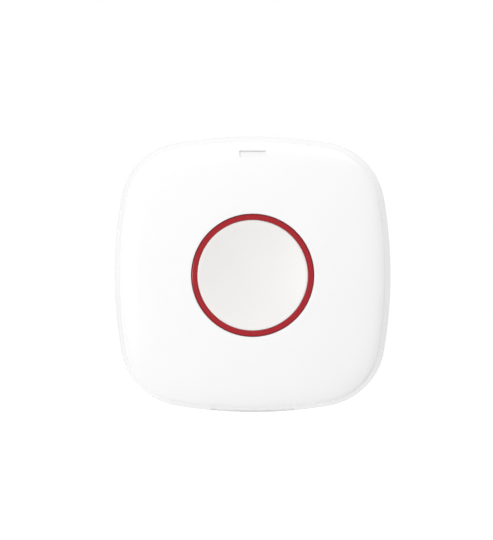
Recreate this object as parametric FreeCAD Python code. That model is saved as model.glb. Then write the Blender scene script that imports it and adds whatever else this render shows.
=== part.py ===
import FreeCAD, Part
import math
import os
from FreeCAD import Vector

# Wireless panic button: a domed square case with soft corners, a round concave button in a red
# collar, an indicator window near the top edge, and a wall panel that clips into the back.
# It is drawn lying on its back: x to the right, y towards its top edge, z out from the wall.
# The last function stands it up as it hangs: x to the right, z up, the front towards -y.
# All sizes are in millimetres.

# Case outline and form
CASE_HALF = 31.0          # half the width over the widest line of the case
SIDE_RADIUS = 101.0       # the long arcs of the four sides
CORNER_RADIUS = 15.1      # the arcs of the four corners
DOME_FALL = 2.2           # how far the round dome falls from the middle to the sides
EDGE_FALL = 1.2           # how far the pillow edge falls on top of that
SIDE_DRAFT = 6.2          # degrees that the side walls lean in
EDGE_IN = 1.7             # eased edge: how far it reaches in over the dome
EDGE_DOWN = 0.55          # and how far it reaches down the side walls
WALL = 1.6                # side wall of the front cover
ROOF = 1.8                # roof of the front cover, hipped inside
DOME_CELLS = 12           # spans of the dome surface each way

# Rear panel
REAR_RIM = 2.0            # thickness of its rim, which is the height of the parting line
PART_GAP = 0.1            # hairline between the rim and the front cover
REAR_FLOOR = 1.6          # thickness of its floor
TAB_HEIGHT = 3.0          # six snap tabs that stand up inside the front cover
TAB_THICK = 1.1
TAB_GAP = 0.15
TAB_WIDTH = 7.0
HOOK_REACH = 0.5
HOOK_LOW = 1.3            # height of the catch face over the rim
POCKET_PLAY = 0.2         # room round a hook in its pocket
TABS_AT = 14.5            # distance of the top and bottom tabs from the middle line
SCREW_SPACING = 41.0      # wall screws, hole to hole
SCREW_HOLE = 4.2          # bore of the wall screw holes
SCREW_PAD = 8.6           # raised square pad round each hole
SCREW_PAD_RISE = 0.8
FLOOR_RIB = 0.9           # width of the stiffening ribs on the floor
FLOOR_RIB_RISE = 0.6

# Opening recess in the bottom side
RECESS_WIDTH = 17.7
RECESS_DEPTH = 0.25
RECESS_SLOPE = 0.5        # how far each end of the recess slants out
PRY_WIDTH = 10.0          # slot for a blade under the front cover
PRY_HEIGHT = 1.2

# Coin cell and its holder
CELL_WIDTH = 24.5
CELL_HEIGHT = 5.0
CELL_DROP = 7.0           # centre of the cell below the centre of the case
CELL_RIB = 0.5            # cross on the floor that steadies the cell
CELL_RIB_RADIUS = 8.0
CELL_RIB_WIDTH = 1.2
CELL_PLAY = 0.2
HOLDER_GAP = 0.15
HOLDER_FLOOR = 0.45
HOLDER_WALL = 1.4
HOLDER_DEPTH = 4.3
HOLDER_MOUTH = 6.5        # how far the open side stops short of the cell's edge
METAL = 0.25              # sheet metal of the cell contacts
CLIP_WIDTH = 4.0

# Circuit board
BOARD = 1.2
BOARD_GAP = 3.4           # from the board's straight sides to the side wall
BOARD_CLIP = 6.0          # clipped corners
TONGUE = 9.0              # tongue under the indicator window
TONGUE_GAP = 0.8
BOSS_INSET = 6.2          # two screw bosses and two rests, in from the sides of the board
BOSS_WIDTH = 5.2
REST_WIDTH = 3.0
PILOT = 1.6               # pilot hole in a boss
SCREW_CORE = 1.54
SCREW_LENGTH = 5.0        # under its head
SCREW_HEAD = 3.8
SCREW_HEAD_RISE = 1.4
BOARD_HOLE = 2.2
CROSS_LENGTH = 2.0
CROSS_WIDTH = 0.5
CROSS_DEPTH = 0.7

# Press switch under the button
SWITCH_WIDTH = 6.2
SWITCH_BODY = 1.9
PLUNGER_WIDTH = 3.3
PLUNGER_RISE = 0.35       # how far it stands out of the body
PLUNGER_PLAY = 0.08
PLUNGER_STEM = 0.45       # how far it reaches into the body
SWITCH_TRAVEL = 0.3
SWITCH_ROOM = 0.05        # left under a plunger that is fully in

# Button
PRESS_TRAVEL = 0.9
END_GAP = 0.05            # left between nub and plunger at full press
RING_HEIGHT = 3.2         # height of the red collar over the carrier
RING_WIDTH = 27.4         # outside of the red collar
RING_HOLE = 24.9          # inside of the red collar
BORE_GAP = 0.1            # running gap from the collar to the cover
RING_RECESS = 0.2         # how far the collar lies below the lip of the cover
RING_BREAK = 0.3          # eased outer edge of the collar
RING_LEDGE = 1.15         # inward ledge of the collar, under the cap
RING_LEDGE_HEIGHT = 0.5
CAP_GAP = 0.05            # between the cap and the collar
CAP_RECESS = 0.1          # how far the cap's rim lies below the collar
CAP_RIM = 0.5
DISH = 1.5                # depth of the thumb dish
DISH_CELLS = 10           # spans of the dish surface each way
LEG_RADIUS = 9.5          # outside of the cap's three snap legs
LEG_THICK = 1.0
LEG_WIDTH = 3.0
LEG_PLAY = 0.2
LEG_HOOK = 0.6
LEG_TURN = 30.0           # heading of the first leg
CARRIER = 1.0             # plate that carries cap and collar
CARRIER_PLAY = 0.3
NUB_WIDTH = 3.2
NUB_RISE = 0.1
STOP_GAP = 0.1            # between the carrier and its stop in the cover
STOP_OVERLAP = 1.65       # how far the carrier reaches under the stop
KEY_WIDTH = 3.0           # three keys that stop the button from turning
KEY_REACH = 1.3
KEY_PLAY = 0.15
WELL_WALL = 1.7           # wall of the well round the carrier
RAIL = 1.2                # a pair of rails beside each key
RAIL_REACH = 2.2
RAIL_TO_BOARD = 1.3

# Return spring round the press switch
SPRING_RADIUS = 5.6
SPRING_WIRE = 0.5
SPRING_TURNS = 2.5
WIRE_SIDES = 6            # flats that stand for the round of the wire
COIL_STEPS = 10           # stations in each turn of a coil
SPRING_LUG = (0.8, 1.6, 0.6)  # lugs on the carrier inside the spring: thick, wide, high
SPRING_PLAY = 0.25

# Indicator window, light guide and lamp
WINDOW_WIDTH = 5.9
WINDOW_HEIGHT = 1.35
WINDOW_INSET = 3.85       # centre of the window in from the top edge
WINDOW_RECESS = 0.35
WINDOW_GAP = 0.05
GUIDE_FLANGE_WIDTH = 8.4
GUIDE_FLANGE_HEIGHT = 2.8
GUIDE_FLANGE = 1.0
GUIDE_LEG_WIDTH = 3.0
GUIDE_LEG_HEIGHT = 1.9
GUIDE_PLAY = 0.1
LAMP_LENGTH = 2.0
LAMP_WIDTH = 1.25
LAMP_RISE = 0.8
LAMP_GAP = 0.2

# Ribs under the roof
ROOF_RIB = 1.0
ROOF_RIB_DEPTH = 1.6

# Parts on the back of the board. Places are x and y, or x and the distance under its top edge.
RADIO_AT_X = -6.2         # midway in y between the cell's contact and the top edge
RADIO_BOARD = (15.0, 11.0, 0.8)
RADIO_SHIELD = (12.6, 8.8, 1.7)
SHIELD_BREAK = 0.4
CHIP_AT = (4.2, 12.2)
CHIP = (5.0, 5.0, 0.9)
CRYSTAL_AT = (4.2, 16.9)
CRYSTAL = (3.2, 2.5, 0.8)
PAIR_AT = (12.0, 12.5)
PAIR_WIDTH = 4.6
PAIR_BODY = 1.6
PAIR_PLUNGER = 2.2
TAMPER_AT = (18.5, -10.4)
TAMPER_WIDTH = 6.2
TAMPER_BODY = 3.0
TAMPER_PLUNGER = 4.6
TAMPER_STEM = 0.55        # how far the pressed plunger still stands out
TAMPER_RADIUS = 1.9       # mean radius of the tamper spring
TAMPER_WIRE = 0.4
TAMPER_TURNS = 3.0
TAMPER_PEG = (1.6, 0.9)   # square peg on the floor inside the spring: wide, high
ANTENNA_UNDER = (9.5, 4.7)
ANTENNA_SPAN = (15.0, 3.2)
ANTENNA_STRIP = 1.2
ANTENNA_RISE = 3.0
ANTENNA_METAL = 0.3
CAPACITOR = (1.6, 0.8, 0.8)
RESISTOR = (1.6, 0.8, 0.45)
CAPACITORS_AT = [(-20.5, 9.0), (-20.5, 7.0), (-20.5, 5.0), (8.4, 9.0), (8.4, 14.6), (8.4, 16.2)]
RESISTORS_UNDER = [(-9.8, 0.6), (-7.4, 0.6), (-5.0, 0.6), (5.0, 0.6), (7.4, 0.6)]

# Heights above the wall, worked out from the sizes above
cell_low = REAR_FLOOR + CELL_RIB + CELL_PLAY
cell_high = cell_low + CELL_HEIGHT
board_back = cell_high + HOLDER_GAP + HOLDER_FLOOR
board_front = board_back + BOARD
switch_top = board_front + SWITCH_BODY
plunger_top = switch_top + PLUNGER_RISE
nub_low = plunger_top + PRESS_TRAVEL - SWITCH_TRAVEL + END_GAP
carrier_low = nub_low + NUB_RISE
carrier_high = carrier_low + CARRIER
stop_low = carrier_high + STOP_GAP
rail_low = board_front + RAIL_TO_BOARD
skirt_low = REAR_RIM + PART_GAP
tab_top = REAR_RIM + TAB_HEIGHT
hook_low = REAR_RIM + HOOK_LOW

# Radii of the button and its bore
bore = RING_WIDTH / 2 + BORE_GAP
cap_radius = RING_HOLE / 2 - CAP_GAP
carrier_radius = bore + STOP_OVERLAP
rail_inner = carrier_radius + CARRIER_PLAY
well = rail_inner + WELL_WALL


def fall(x, y):
    """How far the front face falls: a round dome plus a steeper fall that follows the outline."""
    along = (x * x + y * y) / CASE_HALF ** 2
    power = 3.5
    edge = (abs(x) ** power + abs(y) ** power) ** (1 / power) / CASE_HALF
    return DOME_FALL * along + EDGE_FALL * edge ** 6


def side_inset(height):
    """How far the leaning side has moved in at a height above the wall."""
    return (height - REAR_RIM) * math.tan(math.radians(SIDE_DRAFT))


# Heights of the button's rims and of the dome, which are carried up from the stack inside
ring_top = carrier_high + RING_HEIGHT
cap_rim = ring_top - CAP_RECESS
lip = ring_top + RING_RECESS
case_top = lip + fall(bore, 0)

# Places that follow the case
board_half = CASE_HALF - WALL - side_inset(board_front) - BOARD_GAP
boss_at = board_half - BOSS_INSET
screw_places = [(-boss_at, boss_at), (boss_at, -boss_at)]
window_at = CASE_HALF - WINDOW_INSET
clip_side = CELL_WIDTH / 2 + HOLDER_WALL + 2 * CELL_PLAY
clip_foot = clip_side + 8 * METAL
radio_at = (RADIO_AT_X, (clip_foot - CELL_DROP + board_half) / 2)


def dome_height(x, y):
    """Height of the front face above the wall."""
    return case_top - fall(x, y)


def outline(inset, height):
    """The case outline drawn in by inset: eight tangent arcs, four long and four at the corners."""
    side = SIDE_RADIUS - inset
    corner = CORNER_RADIUS - inset
    back = SIDE_RADIUS - CASE_HALF
    between = SIDE_RADIUS - CORNER_RADIUS
    centre = (math.sqrt(2 * between ** 2 - back ** 2) - back) / 2
    turn = math.degrees(math.atan2(centre, centre + back))
    edges = []
    for quarter in range(4):
        heading = 90 * quarter
        long_centre = polar(back, heading + 180, height)
        corner_centre = polar(centre * math.sqrt(2), heading + 45, height)
        edges.append(arc(long_centre, side, heading - turn, heading + turn))
        edges.append(arc(corner_centre, corner, heading + turn, heading + 90 - turn))
    return Part.Wire(edges)


def polar(radius, degrees, height=0.0):
    """A point at a radius and a heading round the z axis."""
    angle = math.radians(degrees)
    return Vector(radius * math.cos(angle), radius * math.sin(angle), height)


def arc(centre, radius, start, end):
    """A level arc about a centre, from one heading to another."""
    points = [centre + polar(radius, angle) for angle in (start, (start + end) / 2, end)]
    return Part.Arc(*points).toShape()


def straight(inset, low, high):
    """A block with the case outline and upright sides."""
    return Part.Face(outline(inset, low)).extrude(Vector(0, 0, high - low))


def drafted(inset, low, high):
    """A block with the case outline and sides that lean in with the case."""
    wires = [outline(inset + side_inset(level), level) for level in (low, high)]
    return Part.makeLoft(wires, True, True)


def below_surface(height, reach, cells, depth):
    """Everything down to depth under the smooth surface through a square net of heights."""
    step = 2 * reach / cells
    stations = [-reach + step * i for i in range(cells + 1)]
    surface = Part.BSplineSurface()
    surface.interpolate([[Vector(x, y, height(x, y)) for y in stations] for x in stations])
    return surface.toShape().extrude(Vector(0, 0, -depth))


def under_dome(drop):
    """Everything under the front face, lowered by drop."""
    reach = CASE_HALF + 3
    return below_surface(lambda x, y: dome_height(x, y) - drop, reach, DOME_CELLS, 2 * case_top)


def under_roof(drop):
    """Everything under the roof's inner face, eight flats in a low hip, lowered by drop."""
    near = dome_height(well, 0) - ROOF - drop
    side = CASE_HALF - WALL - side_inset(lip - ROOF)
    slope = (dome_height(well, 0) - dome_height(side, 0)) / (side - well)
    far = 1.5 * CASE_HALF
    levels = [(far, -case_top), (far, near - slope * (far - well)), (well, near)]
    rings = [[polar(radius, 45 * n + 22.5, height) for n in range(9)] for radius, height in levels]
    faces = [Part.Face(Part.makePolygon(rings[0])), Part.Face(Part.makePolygon(rings[2]))]
    for low, high in zip(rings, rings[1:]):
        for n in range(8):
            corners = [low[n], low[n + 1], high[n + 1], high[n], low[n]]
            faces.append(Part.Face(Part.makePolygon(corners)))
    return Part.Solid(Part.Shell(faces))


def disc(radius, low, high, at=(0, 0)):
    """A round solid."""
    return Part.makeCylinder(radius, high - low, Vector(at[0], at[1], low))


def tube(inner, outer, low, high, at=(0, 0)):
    """A round solid with a round hole through it."""
    return disc(outer, low, high, at).cut(disc(inner, low, high, at))


def block(width, length, low, high, at=(0, 0)):
    """A box centred on a point."""
    corner = Vector(at[0] - width / 2, at[1] - length / 2, low)
    return Part.makeBox(width, length, high - low, corner)


def turned(shape, degrees):
    """A copy turned round the z axis."""
    copy = shape.copy()
    copy.rotate(Vector(0, 0, 0), Vector(0, 0, 1), degrees)
    return copy


def joined(first, others):
    """One solid from several that meet."""
    return first.fuse(others).removeSplitter()


def revolved(points):
    """A solid of revolution about the z axis, from points given as radius and height."""
    corners = [Vector(r, 0, z) for r, z in points]
    face = Part.Face(Part.makePolygon(corners + corners[:1]))
    return face.revolve(Vector(0, 0, 0), Vector(0, 0, 1), 360)


def coil(radius, wire, turns, low, high, at=(0, 0)):
    """A wire spring between two heights: a loft through sections of the wire along a helix."""
    rise = high - low - wire
    steps = int(turns * COIL_STEPS)
    corners = [polar(wire / 2, 360 * (side + 0.5) / WIRE_SIDES) for side in range(WIRE_SIDES)]
    sections = []
    for step in range(steps + 1):
        out = polar(1, 360 * turns * step / steps)
        centre = out * radius + Vector(at[0], at[1], low + wire / 2 + rise * step / steps)
        points = [centre + out * corner.x + Vector(0, 0, corner.y) for corner in corners]
        sections.append(Part.makePolygon(points + points[:1]))
    return Part.makeLoft(sections, True, True)


def tab_places():
    """Where the snap tabs are: a point on the outline, and whether that side runs along x."""
    sides = [(x, y * CASE_HALF, True) for y in (1, -1) for x in (-TABS_AT, TABS_AT)]
    ends = [(x * CASE_HALF, 0.0, False) for x in (1, -1)]
    return sides + ends


def at_tab(place, width, low, high):
    """A box across the wall at a tab, used to pick out a stretch of that wall."""
    x, y, along_x = place
    across = CASE_HALF / 2
    sizes = (width, across) if along_x else (across, width)
    return block(sizes[0], sizes[1], low, high, (x, y))


def roof_rib(degrees, reach):
    """A rib that hangs from the roof, from the wall of the well outwards."""
    start = well - WELL_WALL / 2
    low = lip - ROOF - 2 * ROOF_RIB_DEPTH
    bar = block(reach - start, ROOF_RIB, low, case_top, ((reach + start) / 2, 0))
    inside = turned(bar, degrees).common(drafted(WALL / 2, skirt_low, case_top))
    return inside.common(under_dome(ROOF / 2))


def front_cover():
    """The domed shell: drafted sides, pillow front, button well and rails, bosses, rests, ribs."""
    blank = drafted(0, skirt_low, case_top).common(under_dome(0))
    rim = [e for e in blank.Edges if e.BoundBox.ZMin > (REAR_RIM + case_top) / 2]
    shell = blank.makeChamfer(EDGE_DOWN, EDGE_IN, rim)
    shell = shell.cut(drafted(WALL, 0, case_top).common(under_roof(0)))
    roofed = under_dome(ROOF / 2)
    inner = [disc(well, stop_low, case_top).common(roofed)]
    for key in range(3):
        for side in (-1, 1):
            across = side * (KEY_WIDTH / 2 + KEY_PLAY + RAIL / 2)
            rail = block(RAIL_REACH, RAIL, rail_low, case_top, (rail_inner + RAIL_REACH / 2, across))
            inner.append(turned(rail, 120 * key + 90).common(roofed))
    inner += [disc(BOSS_WIDTH / 2, board_front, case_top, at).common(roofed) for at in screw_places]
    rest = block(REST_WIDTH, REST_WIDTH, board_front, case_top, (boss_at * math.sqrt(2), 0))
    inner += [turned(rest, angle).common(roofed) for angle in (45, 225)]
    inner += [roof_rib(angle, 2 * CASE_HALF) for angle in (0, 180, 270)]
    inner += [roof_rib(angle, boss_at * math.sqrt(2)) for angle in (45, 135, 225, 315)]
    shell = joined(shell, inner)
    cuts = [disc(bore, 0, 2 * case_top)]
    cuts.append(block(WINDOW_WIDTH, WINDOW_HEIGHT, 0, 2 * case_top, (0, window_at)))
    depth = board_front + SCREW_LENGTH - BOARD + STOP_GAP
    cuts += [disc(PILOT / 2, board_front, depth, at) for at in screw_places]
    pocket = drafted(WALL - HOOK_REACH, skirt_low, case_top)
    for place in tab_places():
        room = at_tab(place, TAB_WIDTH + 2 * POCKET_PLAY, hook_low - POCKET_PLAY,
                      tab_top + POCKET_PLAY)
        cuts.append(room.common(pocket))
    return shell.cut(cuts + [opening_recess(), pry_slot()])


def opening_recess():
    """The shallow recess in the bottom side that shows the rim of the rear panel."""
    half = RECESS_WIDTH / 2
    far = 2 * CASE_HALF
    lean = far * RECESS_SLOPE / RECESS_DEPTH
    floor = -(CASE_HALF - side_inset(case_top) - RECESS_DEPTH)
    points = [(-half, floor), (half, floor), (half + lean, floor - far), (-half - lean, floor - far)]
    corners = [Vector(x, y, 0) for x, y in points]
    face = Part.Face(Part.makePolygon(corners + corners[:1]))
    band = face.extrude(Vector(0, 0, 2 * case_top))
    return band.cut(drafted(RECESS_DEPTH, -1, 1.5 * case_top))


def pry_slot():
    """The slot at the parting line where a blade lifts the front cover off."""
    at = (0, -CASE_HALF)
    return block(PRY_WIDTH, 4 * WALL, skirt_low - 1, skirt_low + PRY_HEIGHT, at)


def rear_cover():
    """The wall panel: flat back, rim, six snap tabs, screw pads, floor ribs and cell cross."""
    plate = straight(0, 0, REAR_RIM)
    outside = WALL + TAB_GAP
    inside = outside + TAB_THICK
    plate = plate.cut(straight(inside, REAR_FLOOR, REAR_RIM))
    wall = drafted(outside, REAR_FLOOR, tab_top).cut(drafted(inside, 0, tab_top))
    tips = [outline(outside - HOOK_REACH + side_inset(hook_low), hook_low)]
    tips.append(outline(outside + side_inset(tab_top), tab_top))
    wedge = Part.makeLoft(tips, True, True).cut(drafted(outside + TAB_THICK / 2, 0, case_top))
    tabs = []
    for place in tab_places():
        tabs.append(at_tab(place, TAB_WIDTH, 0, tab_top).common(wall))
        tabs.append(at_tab(place, TAB_WIDTH, hook_low, tab_top).common(wedge))
    pads = []
    holes = []
    for x in (-SCREW_SPACING / 2, SCREW_SPACING / 2):
        pads.append(block(SCREW_PAD, SCREW_PAD, 0, REAR_FLOOR + SCREW_PAD_RISE, (x, 0)))
        holes.append(disc(SCREW_HOLE / 2, 0, 2 * REAR_FLOOR, (x, 0)))
    cell_at = (0, -CELL_DROP)
    cross = block(2 * CELL_RIB_RADIUS, CELL_RIB_WIDTH, 0, REAR_FLOOR + CELL_RIB, cell_at)
    post = block(CELL_RIB_WIDTH, 2 * CELL_RIB_RADIUS, 0, REAR_FLOOR + CELL_RIB, cell_at)
    ribs = [cross, post]
    rib_top = REAR_FLOOR + FLOOR_RIB_RISE
    within = straight(inside - TAB_THICK / 2, REAR_FLOOR / 2, rib_top)
    for y in (CASE_HALF * 0.4, CASE_HALF * 0.62, -CASE_HALF * 0.78):
        ribs.append(block(2 * CASE_HALF, FLOOR_RIB, 0, rib_top, (0, y)).common(within))
    ribs.append(block(TAMPER_PEG[0], TAMPER_PEG[0], 0, REAR_FLOOR + TAMPER_PEG[1], TAMPER_AT))
    return joined(plate, tabs + pads + ribs).cut(holes)


def button_cap():
    """The white cap: a disc with a thumb dish and three legs that snap through the carrier."""
    hollow = cap_radius - CAP_RIM
    dish = below_surface(lambda x, y: cap_rim + DISH * ((x * x + y * y) / hollow ** 2 - 1),
                         RING_WIDTH / 2, DISH_CELLS, case_top)
    under = carrier_high + RING_LEDGE_HEIGHT + CAP_GAP
    cap = disc(cap_radius, under, cap_rim).common(dish)
    legs = []
    foot = carrier_low - LEG_HOOK
    for leg in range(3):
        bar = tube(LEG_RADIUS - LEG_THICK, LEG_RADIUS, foot, under)
        toe = tube(LEG_RADIUS - LEG_THICK, LEG_RADIUS + LEG_PLAY + LEG_HOOK, foot, carrier_low)
        both = bar.fuse(toe)
        window = block(LEG_RADIUS + 2, LEG_WIDTH, foot, cap_rim)
        window.translate(Vector((LEG_RADIUS + 2) / 2, 0, 0))
        legs.append(turned(both.common(window), 120 * leg + LEG_TURN))
    return joined(cap, legs)


def button_ring():
    """The red collar, held by its ledge between the cap and the carrier."""
    inner = RING_HOLE / 2
    outer = RING_WIDTH / 2
    ledge = carrier_high + RING_LEDGE_HEIGHT
    return revolved([(inner - RING_LEDGE, carrier_high), (outer, carrier_high),
                     (outer, ring_top - RING_BREAK), (outer - RING_BREAK, ring_top),
                     (inner, ring_top), (inner, ledge), (inner - RING_LEDGE, ledge)])


def button_carrier():
    """The plate under the button: keys, spring lugs and the nub over the press switch."""
    plate = disc(carrier_radius, carrier_low, carrier_high)
    extras = []
    for key in range(3):
        reach = carrier_radius + KEY_REACH
        bar = block(reach, KEY_WIDTH, carrier_low, carrier_high)
        bar.translate(Vector(reach / 2, 0, 0))
        thick, wide, high = SPRING_LUG
        fit = SPRING_RADIUS - SPRING_WIRE / 2 - SPRING_PLAY - thick / 2
        lug = block(thick, wide, carrier_low - high, carrier_low, (fit, 0))
        extras += [turned(bar, 120 * key + 90), turned(lug, 120 * key + 90)]
    extras.append(disc(NUB_WIDTH / 2, nub_low, carrier_low))
    plate = joined(plate, extras)
    windows = []
    for leg in range(3):
        hole = tube(LEG_RADIUS - LEG_THICK - LEG_PLAY, LEG_RADIUS + LEG_PLAY, 0, case_top)
        gate = block(LEG_RADIUS + 2, LEG_WIDTH + 2 * LEG_PLAY, 0, case_top)
        gate.translate(Vector((LEG_RADIUS + 2) / 2, 0, 0))
        windows.append(turned(hole.common(gate), 120 * leg + LEG_TURN))
    return plate.cut(windows)


def return_spring():
    """The coil that lifts the button, round the press switch."""
    return coil(SPRING_RADIUS, SPRING_WIRE, SPRING_TURNS, board_front, carrier_low)


def press_switch_body():
    """The switch that the button works: a square body on the board with a well for its plunger."""
    body = block(SWITCH_WIDTH, SWITCH_WIDTH, board_front, switch_top)
    upright = [e for e in body.Edges if e.BoundBox.ZLength > SWITCH_BODY / 2]
    body = body.makeChamfer(SWITCH_WIDTH / 12, upright)
    floor = switch_top - PLUNGER_STEM - SWITCH_TRAVEL - SWITCH_ROOM
    return body.cut(disc(PLUNGER_WIDTH / 2 + PLUNGER_PLAY, floor, switch_top))


def back_switch_body(width, height, plunger, travel, at):
    """A switch on the back of the board, with a square well for its plunger."""
    body = block(width, width, board_back - height, board_back, at)
    roof = board_back - height + PLUNGER_STEM + travel + SWITCH_ROOM
    well_width = plunger + 2 * PLUNGER_PLAY
    return body.cut(block(well_width, well_width, board_back - height, roof, at))


def press_switch_plunger():
    """The round plunger of the press switch."""
    return disc(PLUNGER_WIDTH / 2, switch_top - PLUNGER_STEM, plunger_top)


def pairing_switch_body():
    """The small switch that enrols the device, on the back of the board."""
    return back_switch_body(PAIR_WIDTH, PAIR_BODY, PAIR_PLUNGER, SWITCH_TRAVEL, PAIR_AT)


def pairing_switch_plunger():
    """The plunger of the pairing switch."""
    face = board_back - PAIR_BODY
    return block(PAIR_PLUNGER, PAIR_PLUNGER, face - PLUNGER_RISE, face + PLUNGER_STEM, PAIR_AT)


def tamper_switch_body():
    """The switch that tells whether the case is closed, on the back of the board."""
    return back_switch_body(TAMPER_WIDTH, TAMPER_BODY, TAMPER_PLUNGER, SWITCH_TRAVEL, TAMPER_AT)


def tamper_switch_plunger():
    """Its plunger, held in by the tamper spring."""
    face = board_back - TAMPER_BODY
    return block(TAMPER_PLUNGER, TAMPER_PLUNGER, face - TAMPER_STEM, face + PLUNGER_STEM, TAMPER_AT)


def tamper_spring():
    """The coil between the tamper plunger and the rear panel."""
    high = board_back - TAMPER_BODY - TAMPER_STEM
    return coil(TAMPER_RADIUS, TAMPER_WIRE, TAMPER_TURNS, REAR_FLOOR, high, TAMPER_AT)


def circuit_board():
    """The board: a square with clipped corners, a tongue for the lamp and two screw holes."""
    board = block(2 * board_half, 2 * board_half, board_back, board_front)
    board = board.makeChamfer(BOARD_CLIP, [e for e in board.Edges if e.BoundBox.ZLength > BOARD / 2])
    reach = board_half + BOARD_GAP - TONGUE_GAP
    board = joined(board, [block(TONGUE, reach, board_back, board_front, (0, reach / 2))])
    return board.cut([disc(BOARD_HOLE / 2, board_back, board_front, at) for at in screw_places])


def board_screws():
    """Two small screws with a cross recess, from the back of the board into the bosses."""
    low = board_back - SCREW_HEAD_RISE
    head = disc(SCREW_HEAD / 2, low, board_back)
    screw = head.fuse(disc(SCREW_CORE / 2, board_back, board_back + SCREW_LENGTH))
    bar = block(CROSS_LENGTH, CROSS_WIDTH, low, low + CROSS_DEPTH)
    screw = screw.cut([bar, turned(bar, 90)])
    screws = [screw.copy(), screw.copy()]
    for copy, (x, y) in zip(screws, screw_places):
        copy.translate(Vector(x, y, 0))
    return Part.makeCompound(screws)


def coin_cell():
    """The round cell, its negative face by the board."""
    return disc(CELL_WIDTH / 2, cell_low, cell_high, (0, -CELL_DROP))


def cell_holder():
    """The black cradle on the board: a square block with a round nest, open at the bottom."""
    inner = CELL_WIDTH / 2 + CELL_PLAY
    outer = inner + HOLDER_WALL
    floor_low = board_back - HOLDER_FLOOR
    low = board_back - HOLDER_DEPTH
    shift = HOLDER_MOUTH / 2
    holder = block(2 * outer, 2 * outer - HOLDER_MOUTH, low, board_back, (0, shift))
    nest = disc(inner, low, floor_low)
    window = block(CLIP_WIDTH + 1, inner, floor_low, board_back)
    gate = block(CLIP_WIDTH + 1, outer, low, floor_low, (0, outer))
    holder = holder.cut([nest, window, gate])
    holder.translate(Vector(0, -CELL_DROP, 0))
    return holder


def strip(points, width, at=(0, 0)):
    """Sheet metal bent in one plane: points are y and z of its section, width is along x."""
    corners = [Vector(at[0] - width / 2, at[1] + y, z) for y, z in points]
    return Part.Face(Part.makePolygon(corners + corners[:1])).extrude(Vector(width, 0, 0))


def cell_plus_clip():
    """The contact that comes off the board, up the holder's side and over the face of the cell."""
    tip = CELL_RIB_RADIUS + CELL_PLAY
    top = cell_low - METAL
    outer = clip_side + METAL
    points = [(clip_foot, board_back), (clip_side, board_back), (clip_side, cell_low),
              (tip, cell_low), (tip, top), (outer, top), (outer, board_back - METAL),
              (clip_foot, board_back - METAL)]
    return strip(points, CLIP_WIDTH, (0, -CELL_DROP))


def cell_minus_leaf():
    """The leaf in the holder's window, sprung up from the board against the cell."""
    reach = CELL_WIDTH / 4
    crest = cell_high
    step = board_back - METAL
    points = [(-reach, board_back), (-reach, step), (-reach / 2, step), (0, crest),
              (reach / 2, step), (reach, step), (reach, board_back), (reach / 2, board_back),
              (0, crest + METAL), (-reach / 2, board_back)]
    return strip(points, CLIP_WIDTH, (0, -CELL_DROP))


def on_back(size, at, face=None):
    """A flat part on the back of the board."""
    face = board_back if face is None else face
    return block(size[0], size[1], face - size[2], face, at)


def radio_board():
    """The small board of the radio module."""
    return on_back(RADIO_BOARD, radio_at)


def radio_shield():
    """The sheet metal can over the radio."""
    face = board_back - RADIO_BOARD[2]
    can = on_back(RADIO_SHIELD, radio_at, face)
    low = face - RADIO_SHIELD[2]
    edges = [e for e in can.Edges if e.BoundBox.ZLength > 0.1 or e.BoundBox.ZMax < low + 1e-3]
    return can.makeChamfer(SHIELD_BREAK, edges)


def strip_antenna():
    """The stamped antenna: two feet, a raised strip and a folded return."""
    length, width = ANTENNA_SPAN
    low = board_back - ANTENNA_RISE
    high = low + ANTENNA_METAL
    x, y = ANTENNA_UNDER[0], board_half - ANTENNA_UNDER[1]
    top = block(length, ANTENNA_STRIP, low, high, (x, y + width / 2))
    back = block(length * 0.7, ANTENNA_STRIP, low, high, (x + length * 0.15, y - width / 2))
    end = block(ANTENNA_STRIP, width + ANTENNA_STRIP, low, high, (x + (length - ANTENNA_STRIP) / 2, y))
    feet = []
    for shift in (0, 3 * ANTENNA_STRIP):
        foot_x = x - (length - ANTENNA_STRIP) / 2 + shift
        foot_y = y + (width - ANTENNA_STRIP + ANTENNA_METAL) / 2
        feet.append(block(ANTENNA_STRIP, ANTENNA_METAL, low, board_back, (foot_x, foot_y)))
    return joined(top, [back, end] + feet)


def controller_chip():
    """The controller."""
    return on_back(CHIP, CHIP_AT)


def crystal():
    """The crystal in its small metal case."""
    case = on_back(CRYSTAL, CRYSTAL_AT)
    upright = [e for e in case.Edges if e.BoundBox.ZLength > CRYSTAL[2] - 1e-3]
    return case.makeChamfer(CRYSTAL[1] / 5, upright)


def capacitors():
    """The larger capacitors beside the chip and the radio."""
    return Part.makeCompound([on_back(CAPACITOR, at) for at in CAPACITORS_AT])


def resistors():
    """The resistors along the top of the board."""
    return Part.makeCompound([on_back(RESISTOR, (x, board_half - y)) for x, y in RESISTORS_UNDER])


def guide_leg_at():
    """Centre of the light guide's leg, inside the wall."""
    wall_face = CASE_HALF - WALL - side_inset(lip - ROOF)
    return (0, wall_face - GUIDE_PLAY - GUIDE_FLANGE_HEIGHT / 2)


def indicator_led():
    """The lamp under the light guide, on the front of the board."""
    return block(LAMP_LENGTH, LAMP_WIDTH, board_front, board_front + LAMP_RISE, guide_leg_at())


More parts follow.
